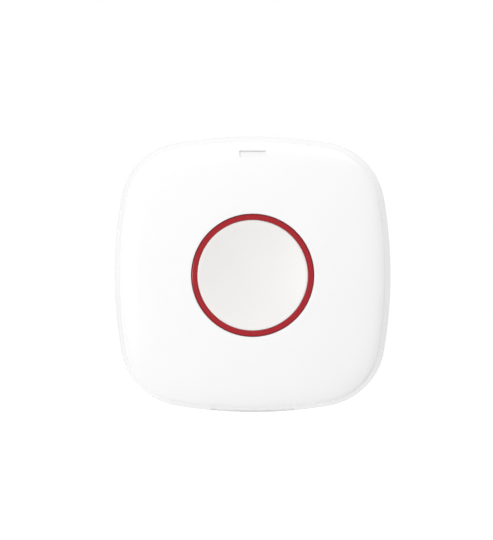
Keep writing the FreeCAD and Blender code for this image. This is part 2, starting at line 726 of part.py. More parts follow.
def light_guide():
    """The clear white piece that fills the window and carries the lamp's light to it."""
    head = block(WINDOW_WIDTH - 2 * WINDOW_GAP, WINDOW_HEIGHT - 2 * WINDOW_GAP,
                 board_front, case_top, (0, window_at))
    head = head.common(under_dome(WINDOW_RECESS))
    flange = block(GUIDE_FLANGE_WIDTH, GUIDE_FLANGE_HEIGHT, board_front, case_top, guide_leg_at())
    flange = flange.common(under_roof(GUIDE_PLAY))
    below = under_roof(GUIDE_PLAY + GUIDE_FLANGE)
    leg_low = board_front + LAMP_RISE + LAMP_GAP
    leg = block(GUIDE_LEG_WIDTH, GUIDE_LEG_HEIGHT, leg_low, case_top, guide_leg_at()).common(below)
    inside = drafted(WALL + GUIDE_PLAY, leg_low, case_top)
    return joined(head.cut(below), [flange.cut(below), leg]).common(inside)


PIECES = {
    "front_cover": front_cover,
    "rear_cover": rear_cover,
    "button_cap": button_cap,
    "button_ring": button_ring,
    "button_carrier": button_carrier,
    "return_spring": return_spring,
    "press_switch_body": press_switch_body,
    "press_switch_plunger": press_switch_plunger,
    "light_guide": light_guide,
    "indicator_led": indicator_led,
    "circuit_board": circuit_board,
    "board_screws": board_screws,
    "coin_cell": coin_cell,
    "cell_holder": cell_holder,
    "cell_plus_clip": cell_plus_clip,
    "cell_minus_leaf": cell_minus_leaf,
    "radio_board": radio_board,
    "radio_shield": radio_shield,
    "strip_antenna": strip_antenna,
    "controller_chip": controller_chip,
    "crystal": crystal,
    "capacitors": capacitors,
    "resistors": resistors,
    "tamper_switch_body": tamper_switch_body,
    "tamper_switch_plunger": tamper_switch_plunger,
    "tamper_spring": tamper_spring,
    "pairing_switch_body": pairing_switch_body,
    "pairing_switch_plunger": pairing_switch_plunger,
}

os.makedirs("parts", exist_ok=True)
for name, make in PIECES.items():
    piece = make()
    piece.rotate(Vector(0, 0, 0), Vector(1, 0, 0), 90)
    solids = len(piece.Solids)
    print(name, "solids", solids, "volume", round(piece.Volume, 2), "closed", piece.isValid())
    piece.exportStep("parts/" + name + ".step")
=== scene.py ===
import bpy
import bmesh
import math
import numpy as np
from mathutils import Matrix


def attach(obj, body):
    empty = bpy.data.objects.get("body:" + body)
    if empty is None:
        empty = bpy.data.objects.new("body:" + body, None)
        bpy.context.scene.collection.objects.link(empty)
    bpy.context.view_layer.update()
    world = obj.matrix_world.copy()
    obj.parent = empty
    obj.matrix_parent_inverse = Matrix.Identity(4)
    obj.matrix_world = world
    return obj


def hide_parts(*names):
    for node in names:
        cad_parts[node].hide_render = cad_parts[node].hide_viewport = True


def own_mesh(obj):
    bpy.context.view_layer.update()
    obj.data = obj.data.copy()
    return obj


# A wireless panic button for a wall: a domed white case, a round concave button in a red collar,
# an indicator window and, inside, a coin cell and a radio board. It is dressed here piece by piece,
# from the front cover inwards. Sizes are in millimetres, drawn as the part lies on its back: x to
# the right, y towards the top edge, z out from the wall. stand_up() turns them into the frame.
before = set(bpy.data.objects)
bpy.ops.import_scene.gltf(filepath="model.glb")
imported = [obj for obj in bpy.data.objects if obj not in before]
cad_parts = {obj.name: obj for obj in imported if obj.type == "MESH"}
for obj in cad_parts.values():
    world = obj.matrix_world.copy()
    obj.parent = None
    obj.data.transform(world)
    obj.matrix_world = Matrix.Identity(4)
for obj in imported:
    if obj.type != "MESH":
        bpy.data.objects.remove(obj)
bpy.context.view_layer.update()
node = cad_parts


# Front cover
# One moulding in glossy white ABS. Its face is a low pillow that falls away to the long arcs of
# the sides, with an eased edge, a bore for the button, a window, an opening recess in the bottom
# side, and inside it the button's well with its rails, two screw bosses, two rests and ribs.
CASE_HALF, SIDE_RADIUS, CORNER_RADIUS = 31.0, 101.0, 15.1
LIP, BORE, MOUTH = 16.5, 13.8, 0.08
DOME_FALL, EDGE_FALL = 2.2, 1.2
PARTING, SKIRT_LOW, DRAFT = 2.0, 2.1, math.tan(math.radians(6.2))
WALL, ROOF, WELL, STOP_LOW = 1.6, 1.8, 17.45, 13.2
EDGE_IN, EDGE_DOWN = 4.2, 1.0
RECESS_HALF, RECESS_DEPTH, RECESS_END, RECESS_AT = 8.85, 0.25, 0.5, 29.6
PRY_HALF, PRY_TOP, SKIRT_EASE = 5.0, 3.3, 0.12
WINDOW_AT, WINDOW_HALF, WINDOW_RISE, WINDOW_EASE, FADE, FADE_UP = 27.15, 2.95, 0.675, 0.05, 2.5, 0.7
BOARD_FRONT, BOSS_AT, BOSS_RADIUS, PILOT, PILOT_TOP, REST = 9.1, 19.03, 2.6, 0.8, 12.99, 3.0
RIB_LOW, RIB_WIDE, RIB_ROOT, RIB_END, ROOTED = 11.5, 1.0, 0.85, 28.6, 0.9
RAIL_LOW, RAIL_FROM, RAIL_LONG, RAIL_WIDE, RAIL_APART = 10.4, 15.75, 2.2, 1.2, 4.5
POCKETS, POCKET_SPAN = (90 - 26.4, 90 + 26.4, 270 - 26.4, 270 + 26.4, 0, 180), 13.2
POCKET_LOW, POCKET_HIGH, POCKET_DEPTH, STEP = 3.1, 5.2, 0.5, 0.01
WINDOW_TURN = math.degrees(math.atan2(WINDOW_HALF + WINDOW_EASE, WINDOW_AT))
PRY_TURN = math.degrees(math.atan2(PRY_HALF, CASE_HALF))


def pillow_fall(x, y):
    """How far the face falls at a point: 2.2 (r / 31)^2 for the round dome, plus 1.2 q^6, where q is
    the 3.5-power norm of (x, y) over 31, for the steeper fall along the square outline."""
    round_part = (x ** 2 + y ** 2) / CASE_HALF ** 2
    square_part = (np.abs(x) ** 3.5 + np.abs(y) ** 3.5) ** (1 / 3.5) / CASE_HALF
    return DOME_FALL * round_part + EDGE_FALL * square_part ** 6


def face_height(x, y):
    """Height of the face: the lip of the bore, plus the fall at the bore, less the fall here."""
    return LIP + pillow_fall(np.float64(BORE), 0.0) - pillow_fall(x, y)


def outline_radius(heading, inset):
    """Distance from the middle to the outline drawn in by inset, along each heading. A ray in
    direction d leaves an arc of radius a about C at C.d + sqrt(a^2 - C.C + (C.d)^2); the four long
    arcs serve up to the heading where they touch the corner arcs, and the corner arcs beyond it."""
    back = SIDE_RADIUS - CASE_HALF
    between = SIDE_RADIUS - CORNER_RADIUS
    corner = (math.sqrt(2 * between ** 2 - back ** 2) - back) / 2
    touch = math.atan2(corner, corner + back)
    off = np.abs((heading + np.pi / 4) % (np.pi / 2) - np.pi / 4)
    side = SIDE_RADIUS - inset
    along = -back * np.cos(off)
    on_side = along + np.sqrt(side ** 2 - back ** 2 + along ** 2)
    along = corner * (np.cos(off) + np.sin(off))
    on_corner = along + np.sqrt(np.maximum(
        (CORNER_RADIUS - inset) ** 2 - 2 * corner ** 2 + along ** 2, 0))
    joint = np.arctan2(side * math.sin(touch), side * math.cos(touch) - back)
    return np.where(off <= joint, on_side, on_corner)


def hip_height(x, y):
    """Height of the roof's inner face: eight flats. With a the largest distance along the eight
    headings over cos 22.5, it is level out to the well and falls in proportion to a beyond it."""
    steps = np.radians(45.0 * np.arange(8))
    away = np.max(np.multiply.outer(np.cos(steps), x) + np.multiply.outer(np.sin(steps), y), axis=0)
    away = away / math.cos(math.radians(22.5))
    side = CASE_HALF - WALL - (LIP - ROOF - PARTING) * DRAFT
    near, far = face_height(np.float64(WELL), 0.0), face_height(np.float64(side), 0.0)
    return near - ROOF - np.maximum(away - WELL, 0) * (near - far) / (side - WELL)


def stand_up(points):
    """Turns points from millimetres on the back, (x, y, z), to metres as it hangs, (x, -z, y)."""
    points = np.asarray(points, float).reshape(-1, 3)
    return np.stack([points[:, 0], -points[:, 2], points[:, 1]], axis=1) / 1000


def make_piece(name, parts):
    """One object from closed shells, each given as points and faces, with smooth shading that
    breaks where two faces meet at more than 38 degrees."""
    points, faces, start = [], [], 0
    for shell_points, shell_faces in parts:
        points.append(np.asarray(shell_points, float).reshape(-1, 3))
        faces += [[start + int(corner) for corner in face] for face in shell_faces]
        start += len(points[-1])
    mesh = bpy.data.meshes.new(name)
    mesh.from_pydata(stand_up(np.concatenate(points)).tolist(), [], faces)
    mesh.shade_smooth()
    mesh.set_sharp_from_angle(angle=math.radians(38))
    mesh.validate()
    piece = bpy.data.objects.new(name, mesh)
    bpy.context.scene.collection.objects.link(piece)
    return piece


def cell_faces(index):
    """The four-sided cells of a grid of point numbers: one step along it, then one across."""
    return np.stack([index[:-1, :-1], index[1:, :-1], index[1:, 1:], index[:-1, 1:]], axis=-1)


def hung(footprint, low, pilot=0.0, pilot_top=0.0):
    """A prism that hangs from the roof: its foot is level at low, and each upright ends inside the
    roof. A pilot hole is a second ring that runs up from the foot to a flat end."""
    footprint = np.asarray(footprint, float)
    count = len(footprint)
    foot = np.insert(footprint, 2, low, axis=1)
    head = np.insert(footprint, 2, hip_height(*footprint.T) + ROOTED, axis=1)
    near = np.arange(count)
    far = (near + 1) % count
    faces = np.stack([near, far, far + count, near + count], axis=1).tolist()
    faces.append((near + count).tolist())
    if not pilot:
        faces.append(near[::-1].tolist())
        return np.concatenate([foot, head]), faces
    out = footprint - footprint.mean(axis=0)
    inner = footprint.mean(axis=0) + out / np.linalg.norm(out, axis=1, keepdims=True) * pilot
    hole = [np.insert(inner, 2, height, axis=1) for height in (low, pilot_top)]
    faces += np.stack([near, near + 2 * count, far + 2 * count, far], axis=1).tolist()
    faces += np.stack([near + 2 * count, near + 3 * count,
                       far + 3 * count, far + 2 * count], axis=1).tolist()
    faces.append((near + 3 * count)[::-1].tolist())
    return np.concatenate([foot, head, *hole]), faces


def bar_footprint(near, far, width, heading, across=0.0):
    """The four corners of a bar that runs outwards along a heading, shifted across it."""
    turn = math.radians(heading)
    out = np.array([math.cos(turn), math.sin(turn)])
    side = np.array([-math.sin(turn), math.cos(turn)])
    return np.array([out * r + side * (across + s * width / 2)
                     for r, s in ((near, -1), (far, -1), (far, 1), (near, 1))])


def cover_headings():
    """Headings of the cover's grid, in radians, about 0.7 degrees apart, with exact ones at the
    ends of the window, the recess, the pry slot and the hook pockets, and at the roof's hips.
    Two headings close together make a step, as at the ends of a pocket."""
    exact = [90 - WINDOW_TURN, 90 + WINDOW_TURN, 270 - PRY_TURN, 270 + PRY_TURN]
    exact += [22.5 * n for n in range(16)]
    exact += [270 + s * math.degrees(math.atan2(x, RECESS_AT)) for s in (-1, 1)
              for x in (RECESS_HALF, RECESS_HALF + RECESS_END)]
    for heading in POCKETS:
        exact += [heading + s * POCKET_SPAN / 2 + e for s in (-1, 1) for e in (-STEP, STEP)]
    exact = sorted(value % 360 for value in exact)
    spans = []
    for start, end in zip(exact, exact[1:] + [exact[0] + 360]):
        count = max(1, round((end - start) / 0.7))
        spans.append(np.linspace(start, end, count, endpoint=False))
    return np.radians(np.concatenate(spans))


def side_radius(heading, height, inset):
    """Distance from the middle to the drafted side at a height, drawn in by inset."""
    return outline_radius(heading, inset + (height - PARTING) * DRAFT)


def recess_inset(heading):
    """How far the side is drawn in at the recess: its depth, by an eased ramp at each end. It is
    measured along x, where the heading meets the line y = -RECESS_AT."""
    sin = np.sin(heading)
    across = np.abs(RECESS_AT * np.cos(heading) / np.maximum(-sin, 0.2))
    ramp = np.clip((RECESS_HALF + RECESS_END - across) / RECESS_END, 0, 1)
    return np.where(sin < 0, RECESS_DEPTH * ramp * ramp * (3 - 2 * ramp), 0)


def ring(heading, radius, height):
    """A row of points at a radius and a height, each one number or one for each heading."""
    return np.stack([radius * np.cos(heading), radius * np.sin(heading),
                     np.broadcast_to(height, heading.shape)], axis=1)


def face_rows(heading, corner, edge):
    """Rows from the mouth of the bore out over the face to the edge. A row on the face lies a fixed
    share of the way from the bore's circle to the edge. The face rolls off towards the corner
    where it would meet the side: at t from 0 to 1 it is EDGE_IN (1 - t)^2 in from that corner and
    EDGE_DOWN t^2 below the pillow."""
    def rolled(x, y):
        """Height of the face with its rolled edge."""
        inward = np.interp(np.arctan2(y, x), heading, corner, period=2 * np.pi) - np.hypot(x, y)
        t = 1 - np.sqrt(np.clip(inward / EDGE_IN, 0, 1))
        return face_height(x, y) - EDGE_DOWN * t ** 2

    start, low = BORE + MOUTH, LIP - MOUTH
    lift = face_height(np.float64(start), 0.0) - low
    rows = [("", ring(heading, start - MOUTH * math.cos(turn), low + lift * math.sin(turn)))
            for turn in np.linspace(0, np.pi / 2, 6)[:-1]]
    window_far = WINDOW_AT + WINDOW_RISE + WINDOW_EASE
    shares = [1 - 2 * (WINDOW_RISE + WINDOW_EASE) / (window_far - start), 1]
    marks = {shares[0]: "window_near", shares[1]: "window_far"}
    for share in [*np.linspace(0, shares[0], 22), *np.linspace(shares[0], 1, 7)[1:]]:
        radius = start + (edge - start) * share
        x, y = square_up(radius * np.cos(heading), radius * np.sin(heading), WINDOW_HALF + WINDOW_EASE)
        rows.append((marks.get(share, ""), np.stack([x, y, rolled(x, y)], axis=1)))
    return rows


def side_rows(heading, corner, last, recess):
    """Rows round the rolled edge, down the side and under the rim. The roll ends on the side."""
    foot = face_height(corner * np.cos(heading), corner * np.sin(heading)) - EDGE_DOWN
    foot_radius = side_radius(heading, foot, recess)
    rows = []
    for t in np.linspace(1 - math.sqrt(last / EDGE_IN), 1, 13)[1:]:
        radius = corner - EDGE_IN * (1 - t) ** 2
        height = face_height(radius * np.cos(heading), radius * np.sin(heading)) - EDGE_DOWN * t ** 2
        rows.append(("", ring(heading, radius + t ** 2 * (foot_radius - corner), height)))
    for share, mark in ((0.25, ""), (0.5, ""), (0.75, ""), (1, "slot_outside")):
        height = foot + (PRY_TOP - foot) * share
        rows.append((mark, ring(heading, side_radius(heading, height, recess), height)))
    for turn in np.linspace(0, np.pi / 2, 4):
        height = SKIRT_LOW + SKIRT_EASE * (1 - math.sin(turn))
        radius = side_radius(heading, height, recess) - SKIRT_EASE * (1 - math.cos(turn))
        rows.append(("", ring(heading, radius, height)))
    return rows


def inner_rows(heading):
    """Rows from the rim up the inside past the hook pockets, along the roof to the well, and to the
    stop under the bore. The corner of side and roof is found as the outer one is."""
    away = np.abs((np.degrees(heading)[:, None] - POCKETS + 180) % 360 - 180).min(axis=1)
    pocket_wall = WALL - np.where(away < POCKET_SPAN / 2, POCKET_DEPTH, 0)
    inner = side_radius(heading, RIB_LOW, WALL)
    for _ in range(6):
        top = hip_height(inner * np.cos(heading), inner * np.sin(heading))
        inner = side_radius(heading, top, WALL)
    rows = [(mark, ring(heading, side_radius(heading, height, wall), height))
            for height, wall, mark in (
                (SKIRT_LOW, WALL, ""), (POCKET_LOW - STEP, WALL, ""),
                (POCKET_LOW + STEP, pocket_wall, ""), (PRY_TOP, pocket_wall, "slot_inside"),
                (POCKET_HIGH - STEP, pocket_wall, ""), (POCKET_HIGH + STEP, WALL, ""),
                (9.0, WALL, ""), (top, WALL, ""))]
    middle = np.interp(np.pi / 2, heading, inner)
    shares = [(middle - WINDOW_AT - s * WINDOW_RISE) / (middle - WELL) for s in (1, -1)]
    marks = {shares[0]: "roof_far", shares[1]: "roof_near"}
    for share in [*np.linspace(*shares, 7), *np.linspace(shares[1], 1, 8)[1:-1]]:
        radius = inner + (WELL - inner) * share
        x, y = square_up(radius * np.cos(heading), radius * np.sin(heading), WINDOW_HALF)
        rows.append((marks.get(share, ""), np.stack([x, y, hip_height(x, y)], axis=1)))
    roof = hip_height(WELL * np.cos(heading), WELL * np.sin(heading))
    for radius, height in ((WELL, roof), (WELL, STOP_LOW), (BORE, STOP_LOW)):
        rows.append(("", ring(heading, radius, height)))
    return rows


def cover_rows(heading):
    """All rows of points round the cover's closed section, and the numbers of the rows at the edges
    of the window and of the pry slot. The corner where face and side meet is found by putting the
    height back into the draft six times. The face's last row follows the outline past the window."""
    recess = recess_inset(heading)
    corner = outline_radius(heading, recess)
    for _ in range(6):
        top = face_height(corner * np.cos(heading), corner * np.sin(heading))
        corner = side_radius(heading, top, recess)
    last = np.interp(np.pi / 2, heading, corner) - WINDOW_AT - WINDOW_RISE - WINDOW_EASE
    named = face_rows(heading, corner, corner - last)
    named += side_rows(heading, corner, last, recess)
    named += inner_rows(heading)
    marks = {mark: number for number, (mark, _) in enumerate(named) if mark}
    return np.array([row for _, row in named]), marks


def square_up(x, y, half):
    """Moves a row so that the grid lines round the window become straight and square. Near the top
    middle each point goes to the x of its heading at the window's middle, stretched to the
    window's half width, and to the row's y at x = 0, by a weight that is 1 to just past the window
    and then fades over FADE, or over FADE_UP on the side of the edge."""
    middle = y[np.argmin(np.abs(x) + (y < 0) * 100)]
    line = WINDOW_AT * x / np.maximum(y, 1)
    line = line * half / (WINDOW_HALF + WINDOW_EASE)
    rise = abs(middle - WINDOW_AT)
    inside = WINDOW_RISE + WINDOW_EASE + 0.02
    fade_y = np.clip(1 - (rise - inside) / (FADE_UP if middle > WINDOW_AT else FADE), 0, 1)
    fade_x = np.clip(1 - (np.abs(x) - half - 0.1) / FADE, 0, 1)
    weight = np.where(y > 0, fade_x ** 2 * (3 - 2 * fade_x) * fade_y ** 2 * (3 - 2 * fade_y), 0)
    return x + (line - x) * weight, y + (middle - y) * weight


def window_walls(points, index, marks, right, left):
    """The window's eased rim and its walls down to the roof: the loop of grid points round it on
    the face, three loops that close in by sin t and drop by 1 - cos t, and the roof's loop."""
    near, far, roof_near, roof_far = (marks[name] for name in (
        "window_near", "window_far", "roof_near", "roof_far"))
    across = np.arange(right, left)
    loops = []
    for near_row, far_row, step in ((near, far, 1), (roof_near, roof_far, -1)):
        along = np.arange(near_row, far_row, step)
        loops.append(np.concatenate([
            index[near_row, across], index[along, left],
            index[far_row, across[::-1] + 1], index[along[::-1] + step, right]]))
    rim = points[loops[0]]
    hole = rim.copy()
    hole[:, 0] *= WINDOW_HALF / (WINDOW_HALF + WINDOW_EASE)
    hole[:, 1] = WINDOW_AT + (rim[:, 1] - WINDOW_AT) * WINDOW_RISE / (WINDOW_RISE + WINDOW_EASE)
    eased = []
    for turn in np.linspace(0, np.pi / 2, 4)[1:]:
        loop = rim + (hole - rim) * math.sin(turn)
        loop[:, 2] = rim[:, 2] - WINDOW_EASE * (1 - math.cos(turn))
        loops.insert(-1, len(points) + len(eased) * len(rim) + np.arange(len(rim)))
        eased.append(loop)
    loops = np.array(loops)
    loops = np.concatenate([loops, loops[:, :1]], axis=1)
    return eased, cell_faces(loops).reshape(-1, 4).tolist()


def cover_shell():
    """The shell: the rows joined to a closed net of four-sided cells, less the cells of the window
    and of the pry slot, whose edges are then joined by walls through the moulding."""
    heading = cover_headings()
    rows, marks = cover_rows(heading)
    index = np.arange(rows[..., 0].size).reshape(rows.shape[:2])
    wrapped = np.concatenate([index, index[:1]], axis=0)
    cells = cell_faces(np.concatenate([wrapped, wrapped[:, :1]], axis=1))
    right, left, slot_from, slot_to = (
        int(np.argmin(np.abs(np.degrees(heading) - value)))
        for value in (90 - WINDOW_TURN, 90 + WINDOW_TURN, 270 - PRY_TURN, 270 + PRY_TURN))
    outside, inside = marks["slot_outside"], marks["slot_inside"]
    keep = np.ones(cells.shape[:2], bool)
    keep[marks["window_near"]:marks["window_far"], right:left] = False
    keep[marks["roof_far"]:marks["roof_near"], right:left] = False
    keep[outside:inside, slot_from:slot_to] = False
    points = rows.reshape(-1, 3)
    eased, walls = window_walls(points, index, marks, right, left)
    across = np.arange(slot_from, slot_to)
    lintel = np.stack([index[outside, across], index[inside, across],
                       index[inside, across + 1], index[outside, across + 1]], axis=1)
    ends = [index[outside:inside + 1, slot_from].tolist(),
            index[outside:inside + 1, slot_to][::-1].tolist()]
    return np.concatenate([points] + eased), cells[keep].tolist() + walls + lintel.tolist() + ends


def cover_inside():
    """The bosses, rests, rails and ribs that hang inside, each a prism from its plan."""
    solids = []
    turn = 2 * np.pi * np.arange(32) / 32
    circle = BOSS_RADIUS * np.stack([np.cos(turn), np.sin(turn)], axis=1)
    out = BOSS_AT * math.sqrt(2)
    for sign, heading in ((-1, 225), (1, 45)):
        boss = circle + [sign * BOSS_AT, -sign * BOSS_AT]
        solids.append(hung(boss, BOARD_FRONT, PILOT, PILOT_TOP))
        rest = bar_footprint(out - REST / 2, out + REST / 2, REST, heading)
        solids.append(hung(rest, BOARD_FRONT))
    for key in (90, 210, 330):
        for across in (-RAIL_APART / 2, RAIL_APART / 2):
            rail = bar_footprint(RAIL_FROM, RAIL_FROM + RAIL_LONG, RAIL_WIDE, key, across)
            solids.append(hung(rail, RAIL_LOW))
    for end, headings in ((RIB_END, (0, 180, 270)), (out, (45, 135, 225, 315))):
        for heading in headings:
            solids.append(hung(bar_footprint(WELL - RIB_ROOT, end, RIB_WIDE, heading), RIB_LOW))
    return solids


def new_node(tree, kind, inputs=(), **choices):
    """A node of a kind, with the choices in its menus. Each input given is set to a constant or
    linked from another node's output."""
    made = tree.nodes.new(kind)
    for choice, value in choices.items():
        setattr(made, choice, value)
    for socket, value in dict(inputs).items():
        if isinstance(value, bpy.types.NodeSocket):
            tree.links.new(value, made.inputs[socket])
        else:
            made.inputs[socket].default_value = value
    return made


def math_step(tree, operation, *values):
    """The result of a Math node on up to three values, each a constant or another node's output."""
    return new_node(tree, "ShaderNodeMath", dict(enumerate(values)), operation=operation).outputs[0]


def object_place(tree):
    """The Object coordinates, in metres."""
    return new_node(tree, "ShaderNodeTexCoord").outputs["Object"]


def noise(tree, place, scale, detail=2.0):
    """A noise pattern from 0 to 1, at the place times the scale."""
    settings = {"Vector": place, "Scale": scale, "Detail": detail}
    return new_node(tree, "ShaderNodeTexNoise", settings).outputs["Fac"]


def new_material(name):
    """An empty node material and its tree."""
    material = bpy.data.materials.new(name)
    material.use_nodes = True
    material.node_tree.nodes.clear()
    return material, material.node_tree


def finish_group(name, settings, low, high):
    """A node group for a finish, and what it is given: a colour, the settings and a range of
    roughness. A colour, a roughness and a height come out."""
    group = bpy.data.node_groups.new(name, "ShaderNodeTree")
    face = group.interface
    face.new_socket("Colour", in_out="INPUT", socket_type="NodeSocketColor")
    for setting, value in {**settings, "Roughness Low": low, "Roughness High": high}.items():
        kind = "NodeSocketVector" if isinstance(value, tuple) else "NodeSocketFloat"
        face.new_socket(setting, in_out="INPUT", socket_type=kind).default_value = value
    for result, kind in (("Colour", "Color"), ("Roughness", "Float"), ("Height", "Float")):
        face.new_socket(result, in_out="OUTPUT", socket_type="NodeSocket" + kind)
    return group, group.nodes.new("NodeGroupInput").outputs


def put_out(group, given, pattern, middle, spread, amount, height):
    """What a finish group puts out. The colour is scaled by 1 + amount (pattern - middle), and the
    roughness runs from low to high as the pattern goes from middle - spread to middle + spread."""
    centred = math_step(group, "SUBTRACT", pattern, middle)
    shade = math_step(group, "MULTIPLY_ADD", centred, given[amount], 1.0)
    tint = new_node(group, "ShaderNodeVectorMath", {0: given["Colour"], "Scale": shade},
                    operation="SCALE")
    rough = new_node(group, "ShaderNodeMapRange", {
        "Value": pattern, "From Min": middle - spread, "From Max": middle + spread,
        "To Min": given["Roughness Low"], "To Max": given["Roughness High"]})
    new_node(group, "NodeGroupOutput", {
        "Colour": tint.outputs[0], "Roughness": rough.outputs[0], "Height": height})


def moulded_group():
    """Moulded plastic: a faint mottle in the colour, a fine polished or sparked grain for the
    height, and roughness that varies as the surface has been handled."""
    settings = {"Mottle": 0.02, "Mottle Scale": 60.0, "Grain Scale": 2500.0}
    group, given = finish_group("Moulded plastic", settings, 0.15, 0.25)
    place = object_place(group)
    mottle = noise(group, place, given["Mottle Scale"], 4.0)
    grain = noise(group, place, given["Grain Scale"], 3.0)
    put_out(group, given, mottle, 0.5, 0.2, "Mottle", grain)
    return group


def with_surface(material, tree, values):
    """Gives a material its Principled surface, whose values are constants or linked outputs."""
    surface = new_node(tree, "ShaderNodeBsdfPrincipled", values)
    new_node(tree, "ShaderNodeOutputMaterial", {"Surface": surface.outputs[0]})
    return material


def finished(name, group, settings, grain_depth, fixed):
    """A material whose colour, roughness and height come from a group with the settings given. The
    fixed values are set on its surface. The grain's depth is in mm."""
    material, tree = new_material(name)
    look = new_node(tree, "ShaderNodeGroup", settings, node_tree=group).outputs
    bump = new_node(tree, "ShaderNodeBump", {
        "Distance": grain_depth / 1000, "Height": look["Height"]})
    return with_surface(material, tree, {
        **fixed, "Base Color": look["Colour"], "Roughness": look["Roughness"],
        "Normal": bump.outputs["Normal"]})


moulded = moulded_group()


def plastic(name, colour, rough, mottle=0.02, mottle_scale=60.0, grain_scale=2500.0,
            grain_depth=0.004, specular=0.5):
    """A moulded plastic with its own colour, roughness range and grain."""
    settings = {"Colour": (*colour, 1), "Mottle": mottle, "Mottle Scale": mottle_scale,
                "Grain Scale": grain_scale, "Roughness Low": rough[0], "Roughness High": rough[1]}
    return finished(name, moulded, settings, grain_depth, {"Specular IOR Level": specular})


def put_in_place(piece, material, body, solid):
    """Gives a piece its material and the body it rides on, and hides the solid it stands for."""
    piece.data.materials.append(material)
    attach(piece, body)
    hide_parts(solid)


gloss_white = plastic("polished white ABS", (0.905, 0.905, 0.905), (0.16, 0.24), mottle=0.012,
                      grain_depth=0.002)
cover = make_piece("front_cover_moulding", [cover_shell()] + cover_inside())
put_in_place(cover, gloss_white, "casing", "front_cover")


# Button cap
# The white press cap, moulded in a warmer, finely sparked ABS. Its face is dished for a thumb, its
# rim is rounded, and three hooked legs under it snap through the carrier.
CAP_RADIUS, CAP_HOLLOW, CAP_TOP, CAP_UNDER, DISH = 12.4, 11.9, 16.2, 13.65, 1.5
CAP_BRIM, CAP_EASE = 0.35, 0.2
LEG_OUT, LEG_IN, LEG_WIDE, LEG_ROOT = 9.5, 8.5, 3.0, 0.2
LEG_FOOT, LEG_CATCH, LEG_REACH = 11.5, 12.1, 10.3


def carried_round(profile, start=0.0, end=360.0, count=144):
    """A closed profile of radius and height carried round the z axis: each point (r, z) goes to
    (r cos t, r sin t, z). A full turn closes on itself, and a part turn gets two end faces."""
    profile = np.asarray(profile, float)
    whole = end - start >= 360
    turn = np.radians(np.linspace(start, end, count, endpoint=not whole))
    radius, height = profile[:, 0][:, None], profile[:, 1][:, None]
    grid = np.stack([radius * np.cos(turn), radius * np.sin(turn),
                     np.broadcast_to(height, (len(profile), len(turn)))], axis=-1)
    index = np.arange(grid.shape[0] * grid.shape[1]).reshape(grid.shape[:2])
    index = np.concatenate([index, index[:1]], axis=0)
    if whole:
        index = np.concatenate([index, index[:, :1]], axis=1)
    faces = cell_faces(index).reshape(-1, 4).tolist()
    if not whole:
        faces += [index[:-1, 0][::-1].tolist(), index[:-1, -1].tolist()]
    return grid.reshape(-1, 3), faces


def turned_solid(profile, count=144, at=(0.0, 0.0)):
    """A solid turned about an axis. The profile runs from the axis over the top and down to the
    axis again; its two ends are single points, closed by fans of three-sided faces."""
    profile = np.asarray(profile, float)
    body = profile[1:-1]
    turn = 2 * np.pi * np.arange(count) / count
    grid = np.stack([body[:, :1] * np.cos(turn), body[:, :1] * np.sin(turn),
                     np.broadcast_to(body[:, 1:], (len(body), count))], axis=-1)
    points = np.concatenate([grid.reshape(-1, 3), [[0, 0, profile[0, 1]], [0, 0, profile[-1, 1]]]])
    index = np.arange(len(body) * count).reshape(len(body), count)
    wrapped = np.concatenate([index, index[:, :1]], axis=1)
    faces = cell_faces(wrapped).reshape(-1, 4).tolist()
    first, last = len(points) - 2, len(points) - 1
    faces += [[first, int(a), int(b)] for a, b in zip(wrapped[0, :-1], wrapped[0, 1:])]
    faces += [[last, int(b), int(a)] for a, b in zip(wrapped[-1, :-1], wrapped[-1, 1:])]
    return points + [at[0], at[1], 0], faces


def rounded(corner, start, end, count=5):
    """Points of a quarter-round-like arc (quadratic Bezier) from start to end past a corner."""
    t = np.linspace(0, 1, count)[:, None]
    start, corner, end = (np.asarray(p, float) for p in (start, corner, end))
    return (1 - t) ** 2 * start + 2 * t * (1 - t) * corner + t ** 2 * end


def cap_profile():
    """The dish z = top + 1.5 ((r / 11.9)^2 - 1), eased into the level rim, and down the wall."""
    radius = np.linspace(0, CAP_HOLLOW - CAP_BRIM, 30)
    dish = np.stack([radius, CAP_TOP + DISH * ((radius / CAP_HOLLOW) ** 2 - 1)], axis=1)
    brim = rounded((CAP_HOLLOW, CAP_TOP), dish[-1], (CAP_HOLLOW + CAP_EASE, CAP_TOP), 6)[1:]
    edge = rounded((CAP_RADIUS, CAP_TOP), (CAP_RADIUS - CAP_EASE, CAP_TOP),
                   (CAP_RADIUS, CAP_TOP - CAP_EASE))
    foot = [(CAP_RADIUS, CAP_UNDER), (0, CAP_UNDER)]
    return np.concatenate([dish, brim, edge, foot])


cap_shells = [turned_solid(cap_profile())]
hooked_leg = [(LEG_IN, CAP_UNDER + LEG_ROOT), (LEG_OUT, CAP_UNDER + LEG_ROOT), (LEG_OUT, LEG_CATCH),
              (LEG_REACH, LEG_CATCH), (LEG_REACH, LEG_FOOT), (LEG_IN, LEG_FOOT)]
half_leg = math.degrees(math.asin(LEG_WIDE / (LEG_OUT + LEG_IN)))
for heading in (30, 150, 270):
    cap_shells.append(carried_round(hooked_leg, heading - half_leg, heading + half_leg, 7))
warm_white = plastic("warm white ABS", (0.822, 0.808, 0.79), (0.36, 0.48), mottle=0.015,
                     grain_scale=3500.0, grain_depth=0.006, specular=1.0)
cap = make_piece("button_cap_moulding", cap_shells)
put_in_place(cap, warm_white, "button", "button_cap")


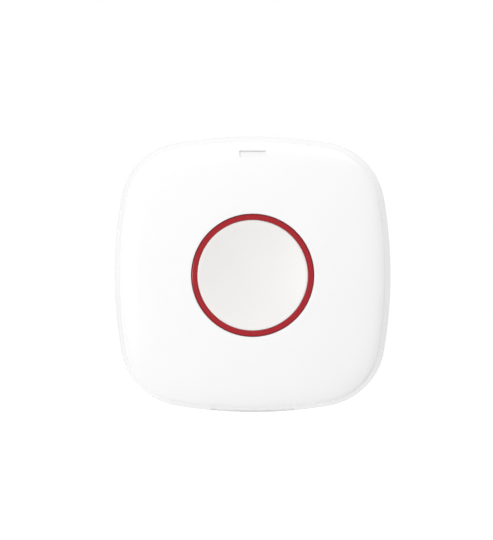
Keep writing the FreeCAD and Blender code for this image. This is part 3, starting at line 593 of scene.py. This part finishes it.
# Red collar
# A ring in glossy red ABS that marks the button. Its top edges are eased, and an inward ledge
# lies between the cap and the carrier and holds it.
RING_IN, RING_OUT, RING_TOP, RING_LOW = 12.45, 13.7, 16.3, 13.1
LEDGE_IN, LEDGE_TOP, EASE_IN, EASE_OUT = 11.3, 13.6, 0.15, 0.4
ring_profile = np.concatenate([
    [(LEDGE_IN, RING_LOW), (LEDGE_IN, LEDGE_TOP), (RING_IN, LEDGE_TOP)],
    rounded((RING_IN, RING_TOP), (RING_IN, RING_TOP - EASE_IN), (RING_IN + EASE_IN, RING_TOP)),
    rounded((RING_OUT, RING_TOP), (RING_OUT - EASE_OUT, RING_TOP), (RING_OUT, RING_TOP - EASE_OUT), 7),
    [(RING_OUT, RING_LOW)]])
red_abs = plastic("glossy red ABS", (0.36, 0.008, 0.016), (0.2, 0.3), mottle=0.08,
                  mottle_scale=120.0, grain_depth=0.002, specular=0.3)
collar = make_piece("button_ring_moulding", [carried_round(ring_profile)])
put_in_place(collar, red_abs, "button", "button_ring")


# Light guide and lamp
# A milky clear insert is pressed into the indicator window from inside: a head that fills the
# window just below the face, a flange behind the roof, and a leg down to a small lamp on the board.
HEAD_HALF, HEAD_RISE, HEAD_AT, HEAD_DROP, HEAD_ROOT = 2.94, 0.63, WINDOW_AT - 0.035, 0.35, 0.5
FLANGE_HALF, FLANGE_RISE, FLANGE_AT, FLANGE, FLANGE_PLAY = 4.2, 1.4, 26.52, 1.0, 0.1
GUIDE_LEG_HALF, GUIDE_LEG_RISE, GUIDE_LEG_LOW = 1.5, 0.95, 10.1


def slab(half, rise, middle, low, high, cells=(8, 4)):
    """A closed block over a rectangle about (0, middle), whose foot and head follow two heights
    given as functions of x and y: two grids of cells joined by a wall round their rim."""
    x, y = np.meshgrid(np.linspace(-half, half, cells[0] + 1),
                       np.linspace(middle - rise, middle + rise, cells[1] + 1), indexing="ij")
    points = np.stack([np.stack([x, y, np.broadcast_to(level(x, y), x.shape)], axis=-1)
                       for level in (high, low)])
    index = np.arange(2 * x.size).reshape(2, *x.shape)
    head, foot = index
    rim = [np.concatenate([net[:-1, 0], net[-1, :-1], net[:0:-1, -1], net[0, :0:-1], net[:1, 0]])
           for net in (head, foot)]
    faces = [cell_faces(head), cell_faces(foot)[..., ::-1], cell_faces(np.array(rim))]
    return points.reshape(-1, 3), sum([block.reshape(-1, 4).tolist() for block in faces], [])


frosted = plastic("milky clear plastic", (0.88, 0.88, 0.875), (0.22, 0.32), mottle=0.01)
insert = make_piece("light_guide_insert", [
    slab(HEAD_HALF, HEAD_RISE, HEAD_AT, lambda x, y: hip_height(x, y) - HEAD_ROOT,
         lambda x, y: face_height(x, y) - HEAD_DROP),
    slab(FLANGE_HALF, FLANGE_RISE, FLANGE_AT,
         lambda x, y: hip_height(x, y) - FLANGE_PLAY - FLANGE,
         lambda x, y: hip_height(x, y) - FLANGE_PLAY),
    slab(GUIDE_LEG_HALF, GUIDE_LEG_RISE, FLANGE_AT, lambda x, y: GUIDE_LEG_LOW,
         lambda x, y: hip_height(x, y) - FLANGE, (1, 1))])
put_in_place(insert, frosted, "casing", "light_guide")


def dressed_copy(name, ease):
    """A copy of a solid's own surface, with its loose triangles merged, its flats made whole again
    and, where an ease in mm is given, its edges over 30 degrees rounded by a bevel."""
    crease = math.radians(30)
    mesh = node[name].data.copy()
    mesh.materials.clear()
    work = bmesh.new()
    work.from_mesh(mesh)
    bmesh.ops.remove_doubles(work, verts=work.verts, dist=1e-6)
    bmesh.ops.dissolve_limit(work, angle_limit=math.radians(0.5), verts=work.verts,
                             edges=work.edges, use_dissolve_boundaries=False)
    work.to_mesh(mesh)
    work.free()
    mesh.shade_smooth()
    mesh.set_sharp_from_angle(angle=crease)
    copy = bpy.data.objects.new(name + "_dressed", mesh)
    bpy.context.scene.collection.objects.link(copy)
    if ease:
        bevel = copy.modifiers.new("eased edges", "BEVEL")
        bevel.width = ease / 1000
        bevel.segments = 2
        bevel.limit_method = "ANGLE"
        bevel.angle_limit = crease
        bevel.harden_normals = True
    return copy


def dress(name, material, body="casing", ease=0.0):
    """Puts a dressed copy of a solid in its place, with its material and the body it rides on."""
    put_in_place(dressed_copy(name, ease), material, body, name)


lamp_body = plastic("lamp epoxy", (0.8, 0.78, 0.6), (0.2, 0.3))
dress("indicator_led", lamp_body, ease=0.08)


# Rear cover
# The wall panel in satin white ABS. Its edges are eased by the mould, and its six snap tabs, pads,
# ribs and cell cross stand on a flat floor.
satin_white = plastic("satin white ABS", (0.87, 0.87, 0.865), (0.4, 0.52), mottle=0.02,
                      grain_scale=1800.0, grain_depth=0.012)
dress("rear_cover", satin_white, ease=0.12)


# Button carrier
# The plate under the cap and the collar, moulded in the same satin white, with three keys that run
# between the cover's rails.
dress("button_carrier", satin_white, body="button", ease=0.08)


# Return spring and tamper spring
# Two coils of bright spring wire with closed ends. The larger lifts the button, and the smaller
# stands on a peg of the wall panel and holds the tamper plunger in.
def metal_group():
    """Rolled or drawn metal: a grain of streaks, whose three densities along x, y and z are given,
    that shifts the colour, the roughness and the height, and a slow tarnish on top of it."""
    settings = {"Grain": (0.0, 0.0, 0.0), "Streak": 0.08}
    group, given = finish_group("Drawn metal", settings, 0.2, 0.4)
    place = object_place(group)
    drawn = new_node(group, "ShaderNodeVectorMath", {0: place, 1: given["Grain"]},
                     operation="MULTIPLY")
    streak = noise(group, drawn.outputs[0], 1.0, 3.0)
    mixed = math_step(group, "MULTIPLY_ADD", noise(group, place, 180.0), 0.5, streak)
    put_out(group, given, mixed, 0.75, 0.25, "Streak", streak)
    return group


drawn_metal = metal_group()


def metal(name, colour, rough, grain=(900.0, 900.0, 900.0), streak=0.1):
    """A metal with its own colour, roughness range and direction of grain."""
    settings = {"Colour": (*colour, 1), "Grain": grain, "Streak": streak,
                "Roughness Low": rough[0], "Roughness High": rough[1]}
    return finished(name, drawn_metal, settings, 0.003, {"Metallic": 1.0})


def wire_coil(radius, wire, turns, low, high, at):
    """Round wire along a helix. The angle grows evenly. The height is level over the first and last
    fifth of a turn and rises by (s + 3 s^2 - 2 s^3) / 2 between them. The section is a circle across
    the radial direction and the axis, and each end is a flat disc."""
    steps = np.linspace(0, 1, int(turns * 48) + 1)
    angle = 2 * np.pi * turns * steps
    rise = np.clip((steps * turns - 0.2) / (turns - 0.4), 0, 1)
    rise = rise * 0.5 + rise * rise * (3 - 2 * rise) * 0.5
    middle = low + wire / 2 + (high - low - wire) * rise
    section = 2 * np.pi * np.arange(12) / 12
    out = radius + wire / 2 * np.cos(section)[:, None]
    grid = np.stack([out * np.cos(angle) + at[0], out * np.sin(angle) + at[1],
                     middle + wire / 2 * np.sin(section)[:, None]], axis=-1)
    index = np.arange(grid.shape[0] * grid.shape[1]).reshape(grid.shape[:2])
    around = np.concatenate([index, index[:1]], axis=0)
    faces = cell_faces(around)[..., ::-1].reshape(-1, 4).tolist()
    faces += [index[:, 0].tolist(), index[:, -1][::-1].tolist()]
    return grid.reshape(-1, 3), faces


spring_wire = metal("bright spring wire", (0.6, 0.6, 0.58), (0.18, 0.34))
for name, radius, wire, turns, low, high, at, joint, keep in (
        ("return_spring", 5.6, 0.5, 2.5, 9.1, 12.1, (0.0, 0.0), "button_press", 0.7),
        ("tamper_spring", 1.9, 0.4, 3.0, 1.6, 4.35, (18.5, -10.4), "tamper_travel", 0.891)):
    spring = make_piece(name + "_coil", [wire_coil(radius, wire, turns, low, high, at)])
    put_in_place(spring, spring_wire, "casing", name)
    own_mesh(spring)


# Switches
# The switches under the button and for pairing have a folded cover of tinned sheet and a black
# plunger. The larger one against the wall panel is moulded, black with a natural white plunger.
tinned = metal("tinned sheet", (0.7, 0.7, 0.69), (0.26, 0.42), (300.0, 2500.0, 2500.0), streak=0.14)
black_plastic = plastic("black glass-filled plastic", (0.028, 0.028, 0.03), (0.42, 0.6),
                        mottle=0.25, mottle_scale=900.0, grain_scale=5000.0, grain_depth=0.01)
plunger_white = plastic("natural white plastic", (0.8, 0.8, 0.76), (0.4, 0.5), mottle=0.03)
for name in ("press", "pairing"):
    dress(name + "_switch_body", tinned, ease=0.08)
    dress(name + "_switch_plunger", black_plastic, name + "_plunger", ease=0.06)
dress("tamper_switch_body", black_plastic, ease=0.08)
dress("tamper_switch_plunger", plunger_white, "tamper_plunger", ease=0.06)


# Circuit board
# A glass-epoxy board under green solder mask. Copper tracks show through the mask as lighter,
# slightly raised runs, tinned vias dot them, and the routed edge is bare tan laminate.
CELLS, TRACKS, TRACK_SHARE, TRACK_REACH = 170.0, 9.0, 0.2, 0.34
VIA, VIA_RING = 0.037, 0.016
MASK, COPPER, TIN, LAMINATE = ((0.006, 0.062, 0.024, 1), (0.012, 0.105, 0.04, 1),
                               (0.55, 0.56, 0.55, 1), (0.42, 0.36, 0.2, 1))


def board_pattern(tree, place):
    """Tracks and vias. With d as the difference of distance to the two nearest points of a
    square-metric cell pattern, a track lies where 9 d is near a whole number and a half, up to
    d = 0.34: three level, upright or slanted runs side by side. A via is a ring round each point."""
    turned = new_node(tree, "ShaderNodeMapping", {
        "Vector": place, "Rotation": (math.pi / 2, 0, 0)}).outputs[0]
    nearest, second, point = (
        new_node(tree, "ShaderNodeTexVoronoi",
                 {"Vector": turned, "Scale": CELLS, "Randomness": 0.75},
                 voronoi_dimensions="2D", distance=metric, feature=feature).outputs["Distance"]
        for metric, feature in (("CHEBYCHEV", "F1"), ("CHEBYCHEV", "F2"), ("EUCLIDEAN", "F1")))
    between = math_step(tree, "SUBTRACT", second, nearest)
    run = math_step(tree, "FRACT", math_step(tree, "MULTIPLY", between, TRACKS))
    off = math_step(tree, "ABSOLUTE", math_step(tree, "SUBTRACT", run, 0.5))
    track = math_step(tree, "MULTIPLY", math_step(tree, "LESS_THAN", off, TRACK_SHARE),
                      math_step(tree, "LESS_THAN", between, TRACK_REACH))
    return track, math_step(tree, "COMPARE", point, VIA, VIA_RING)


def board_material():
    """Solder mask, over it the lighter tracks, then the tinned vias, and bare laminate at the edge,
    where the normal lies in the plane of the board. The tracks stand a little proud."""
    material, tree = new_material("green solder mask")
    place = object_place(tree)
    track, via = board_pattern(tree, place)
    normal = new_node(tree, "ShaderNodeNewGeometry").outputs["Normal"]
    level = new_node(tree, "ShaderNodeSeparateXYZ", {0: normal}).outputs["Y"]
    edge = math_step(tree, "LESS_THAN", math_step(tree, "ABSOLUTE", level), 0.5)
    colour = MASK
    for share, over in ((track, COPPER), (via, TIN), (edge, LAMINATE)):
        layer = new_node(tree, "ShaderNodeMix", {"Factor": share, "A": colour, "B": over},
                         data_type="RGBA")
        colour = layer.outputs["Result"]
    rough = new_node(tree, "ShaderNodeMapRange", {
        "Value": noise(tree, place, 3000.0), "To Min": 0.28, "To Max": 0.42})
    bump = new_node(tree, "ShaderNodeBump", {"Distance": 0.02 / 1000, "Height": track})
    return with_surface(material, tree, {
        "Base Color": colour, "Roughness": rough.outputs[0], "Normal": bump.outputs["Normal"]})


solder_mask = board_material()
dress("circuit_board", solder_mask, ease=0.04)
dress("radio_board", solder_mask, ease=0.03)


# Board screws
# Two small pan-head screws with a cross recess, headed and thread-rolled in steel and zinc-plated.
# They are driven through the board into the cover's bosses.
zinc = metal("zinc-plated steel", (0.46, 0.47, 0.5), (0.28, 0.45), streak=0.2)
dress("board_screws", zinc, ease=0.1)


# Coin cell and its holder
# A round lithium cell, its can crimped over a dark gasket and a smaller negative face, in a black
# cradle on the board, with a nickel strip over its positive face and a sprung leaf behind it.
CELL_FACE, CELL_BACK, CELL_RADIUS, CELL_AT = 7.3, 2.3, 12.25, (0.0, -7.0)
LID_RADIUS, LID_EASE, GASKET_IN, GASKET_OUT, GASKET_DOWN = 10.9, 0.3, 10.95, 11.15, 0.35
CRIMP_IN, CRIMP_DOWN, CRIMP_ROUND, CAN_EASE = 11.2, 0.05, 0.65, 0.45


def cell_profile():
    """From the middle of the negative face, over its rim, the gasket groove and the crimp, down the
    can and its eased edge to the middle of the positive face."""
    top, low, radius = CELL_FACE, CELL_BACK, CELL_RADIUS
    crimp = top - 2 * CRIMP_DOWN
    return np.concatenate([
        [(0, top)],
        rounded((LID_RADIUS, top), (LID_RADIUS - LID_EASE, top), (LID_RADIUS, top - LID_EASE)),
        [(GASKET_IN, top - GASKET_DOWN), (GASKET_OUT, top - GASKET_DOWN)],
        rounded((CRIMP_IN, top - CRIMP_DOWN), (CRIMP_IN, top - LID_EASE),
                (CRIMP_IN + LID_EASE, crimp + 0.02), 4),
        rounded((radius, crimp), (radius - CRIMP_ROUND, crimp), (radius, crimp - CRIMP_ROUND), 7),
        rounded((radius, low), (radius, low + CAN_EASE), (radius - CAN_EASE, low), 6), [(0, low)]])


cell_steel = metal("nickel-plated steel", (0.68, 0.68, 0.67), (0.22, 0.36), (120.0, 2500.0, 2500.0))
cell = make_piece("coin_cell_can", [turned_solid(cell_profile(), 128, CELL_AT)])
put_in_place(cell, cell_steel, "casing", "coin_cell")
dress("cell_holder", black_plastic, ease=0.1)
nickel = metal("nickel strip", (0.72, 0.7, 0.66), (0.2, 0.34), (2500.0, 2500.0, 150.0))
dress("cell_plus_clip", nickel)
dress("cell_minus_leaf", nickel)


# Radio can, antenna and crystal
# Folded from tinned sheet: the can over the radio, the antenna on its two feet, and the crystal's
# small case.
for name, ease in (("radio_shield", 0.08), ("strip_antenna", 0.05), ("crystal", 0.05)):
    dress(name, tinned, ease=ease)


# Controller, capacitors and resistors
# The controller is moulded in black epoxy. The small parts are fired ceramic with tinned ends, and
# the resistors have a black film on top.
MIDDLE, END, SKIN = 0.56, 0.22, 0.03
BOARD_BACK, BOARD_TOP = 7.9, 25.229
dress("controller_chip", black_plastic, ease=0.06)


def small_parts(places, size, low):
    """One bar for each place, in three closed blocks: a middle that stands a little inside the
    size given, and two ends at full size. The signs of the eight corners times half sizes give
    each block."""
    corners = np.array([(x, y, z) for x in (-1, 1) for y in (-1, 1) for z in (-1, 1)], float)
    sides = [(0, 1, 3, 2), (4, 6, 7, 5), (0, 4, 5, 1), (2, 3, 7, 6), (0, 2, 6, 4), (1, 5, 7, 3)]
    width, depth, height = size
    shells, ends = [], []
    for x, y in places:
        for side, share, skin in ((0, MIDDLE, SKIN), (-1, END, 0.0), (1, END, 0.0)):
            half = np.array([share * width / 2, depth / 2 - skin, height / 2 - skin])
            middle = np.array([x + side * (MIDDLE + END) / 2 * width, y, low + height / 2])
            shells.append((corners * half + middle, sides))
            ends += [float(skin == 0.0)] * 8
    return shells, ends


def small_part_material(name, colour, rough):
    """Ceramic in the middle and tin at the ends, chosen by the piece's own attribute "end"."""
    material, tree = new_material(name)
    ceramic = new_node(tree, "ShaderNodeGroup", {
        "Colour": (*colour, 1), "Mottle": 0.2, "Mottle Scale": 1500.0,
        "Roughness Low": rough[0], "Roughness High": rough[1]}, node_tree=moulded).outputs
    tin = new_node(tree, "ShaderNodeGroup", {
        "Colour": (0.72, 0.72, 0.7, 1), "Grain": (1500.0, 1500.0, 1500.0)},
        node_tree=drawn_metal).outputs
    end = new_node(tree, "ShaderNodeAttribute", attribute_name="end").outputs["Fac"]
    colours = new_node(tree, "ShaderNodeMix", {
        "Factor": end, "A": ceramic["Colour"], "B": tin["Colour"]}, data_type="RGBA")
    roughness = new_node(tree, "ShaderNodeMix", {
        "Factor": end, "A": ceramic["Roughness"], "B": tin["Roughness"]})
    return with_surface(material, tree, {
        "Base Color": colours.outputs["Result"], "Roughness": roughness.outputs["Result"],
        "Metallic": end})


capacitor_places = [(-20.5, 9.0), (-20.5, 7.0), (-20.5, 5.0), (8.4, 9.0), (8.4, 14.6), (8.4, 16.2)]
resistor_places = [(x, BOARD_TOP - 0.6) for x in (-9.8, -7.4, -5.0, 5.0, 7.4)]
for name, places, size, colour, slot_name in (
        ("capacitors", capacitor_places, (1.6, 0.8, 0.8), (0.45, 0.34, 0.22), "ceramic"),
        ("resistors", resistor_places, (1.6, 0.8, 0.45), (0.03, 0.03, 0.034), "resistor_black")):
    shells, ends = small_parts(places, size, BOARD_BACK - size[2])
    bars = make_piece(name + "_with_tinned_ends", shells)
    bars.data.attributes.new("end", "FLOAT", "POINT").data.foreach_set("value", ends)
    ceramic = small_part_material(name + " ceramic", colour, (0.35, 0.5))
    put_in_place(bars, ceramic, "casing", name)


# Studio
# A pale floor below the button, a white room that the camera and reflections see, two thirds as
# bright for diffuse light, a soft lamp low on the left, and two larger ones above.
def far_right_group():
    """How far a direction leads past the object to its lower right: its dot product with
    (0.55, 0.7, -0.4), spread from 0 at 0.65 to 1 at 0.78. Only the outermost band of the right and
    lower sides mirrors what lies there."""
    group = bpy.data.node_groups.new("Past the lower right", "ShaderNodeTree")
    group.interface.new_socket("Direction", in_out="INPUT", socket_type="NodeSocketVector")
    group.interface.new_socket("Share", in_out="OUTPUT", socket_type="NodeSocketFloat")
    given = group.nodes.new("NodeGroupInput").outputs
    along = new_node(group, "ShaderNodeVectorMath", {0: given["Direction"], 1: (0.55, 0.7, -0.4)},
                     operation="DOT_PRODUCT")
    spread = new_node(group, "ShaderNodeMapRange", {
        "Value": along.outputs["Value"], "From Min": 0.65, "From Max": 0.78})
    new_node(group, "NodeGroupOutput", {"Share": spread.outputs[0]})
    return group


far_right = far_right_group()


def stage_floor():
    """A wide pale floor. To the camera it also glows a little, so that it reads as white where
    nothing shades it, and the object's shadow stays in it. To reflections it glows less, and least
    past the object's lower right."""
    mesh = bpy.data.meshes.new("floor")
    half, low = 4.0, -0.11
    mesh.from_pydata([(-half, -half, low), (half, -half, low), (half, half, low),
                      (-half, half, low)], [], [(0, 1, 2, 3)])
    floor = bpy.data.objects.new("floor", mesh)
    bpy.context.scene.collection.objects.link(floor)
    material, tree = new_material("pale floor")
    path = new_node(tree, "ShaderNodeLightPath").outputs
    away = new_node(tree, "ShaderNodeVectorMath", {0: object_place(tree)}, operation="NORMALIZE")
    share = new_node(tree, "ShaderNodeGroup", {"Direction": away.outputs[0]}, node_tree=far_right)
    seen = math_step(tree, "MULTIPLY", path["Is Camera Ray"], 0.6)
    mirrored = math_step(tree, "MULTIPLY_ADD", share.outputs[0], -0.1, 0.38)
    strength = math_step(tree, "MULTIPLY_ADD", path["Is Glossy Ray"], mirrored, seen)
    glow = new_node(tree, "ShaderNodeEmission", {"Strength": strength})
    matt = new_node(tree, "ShaderNodeBsdfPrincipled", {
        "Base Color": (0.8, 0.8, 0.8, 1), "Roughness": 0.9, "Specular IOR Level": 0.0})
    both = new_node(tree, "ShaderNodeAddShader", {0: matt.outputs[0], 1: glow.outputs[0]})
    new_node(tree, "ShaderNodeOutputMaterial", {"Surface": both.outputs[0]})
    mesh.materials.append(material)
    return floor


stage_floor()

room = bpy.data.worlds.new("room")
room.use_nodes = True
bpy.context.scene.world = room
sky = room.node_tree
sky.nodes.clear()
path = new_node(sky, "ShaderNodeLightPath").outputs
seen = math_step(sky, "MAXIMUM", path["Is Camera Ray"], path["Is Glossy Ray"])
seen = math_step(sky, "MAXIMUM", seen, path["Is Transmission Ray"])
level = new_node(sky, "ShaderNodeMapRange", {"Value": seen, "To Min": 0.67, "To Max": 1.0})
place = new_node(sky, "ShaderNodeTexCoord").outputs["Generated"]
share = new_node(sky, "ShaderNodeGroup", {"Direction": place}, node_tree=far_right)
dim = math_step(sky, "MULTIPLY", share.outputs[0], path["Is Glossy Ray"])
strength = math_step(sky, "MULTIPLY_ADD", dim, -0.17, level.outputs[0])
white = new_node(sky, "ShaderNodeBackground", {"Color": (1, 1, 1, 1), "Strength": strength})
new_node(sky, "ShaderNodeOutputWorld", {"Surface": white.outputs[0]})


def soft_lamp(name, place, size, power):
    """A square soft lamp that faces the middle of the case's back."""
    data = bpy.data.lights.new(name, "AREA")
    data.shape = "SQUARE"
    data.size = size
    data.energy = power
    lamp = bpy.data.objects.new(name, data)
    bpy.context.scene.collection.objects.link(lamp)
    lamp.location = place
    lamp.rotation_euler = (-lamp.location).to_track_quat("-Z", "Y").to_euler()


soft_lamp("key lamp", (-0.83, -0.86, 0.0), 0.22, 4.8)
soft_lamp("top lamp", (0.36, -0.36, 0.9), 0.7, 2.1)
soft_lamp("high lamp", (0.15, -0.08, 1.05), 0.7, 2.1)

AWAY, RAISED = 2.702, math.radians(0.7)
view = bpy.data.cameras.new("camera")
view.lens = 800
view.sensor_width = 36
view.shift_x = -0.01143
view.shift_y = 0.00815
camera = bpy.data.objects.new("camera", view)
bpy.context.scene.collection.objects.link(camera)
camera.location = (0, -AWAY * math.cos(RAISED), AWAY * math.sin(RAISED))
camera.rotation_euler = (math.pi / 2 - RAISED, 0, 0)
bpy.context.scene.camera = camera
bpy.context.scene.view_settings.view_transform = "Standard"
